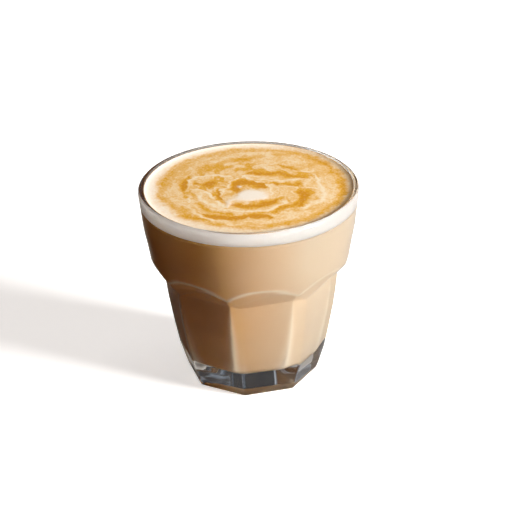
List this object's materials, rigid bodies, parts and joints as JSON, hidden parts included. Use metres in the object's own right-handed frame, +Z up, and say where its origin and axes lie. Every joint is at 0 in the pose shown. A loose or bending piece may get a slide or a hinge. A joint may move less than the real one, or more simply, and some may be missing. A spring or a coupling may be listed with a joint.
{
  "type": "coffee drink in a glass",
  "caption": "Flat white in a faceted glass tumbler: milk coffee under a layer of foam with a marbled, crema-toned top.",
  "frame": {"origin": "middle of the glass's underside, on the table", "axes": "+Z up; -Y is the front, where a ridge of the octagonal base almost faces"},
  "size_m": [0.084, 0.084, 0.0775],
  "materials": {
    "glass": "clear, fire-polished",
    "coffee": "smooth liquid against the glass",
    "foam": "fine wet foam"
  },
  "bodies": {
    "root": {"glass": "glass", "coffee": "coffee", "foam": "foam"}
  },
  "joints": []
}
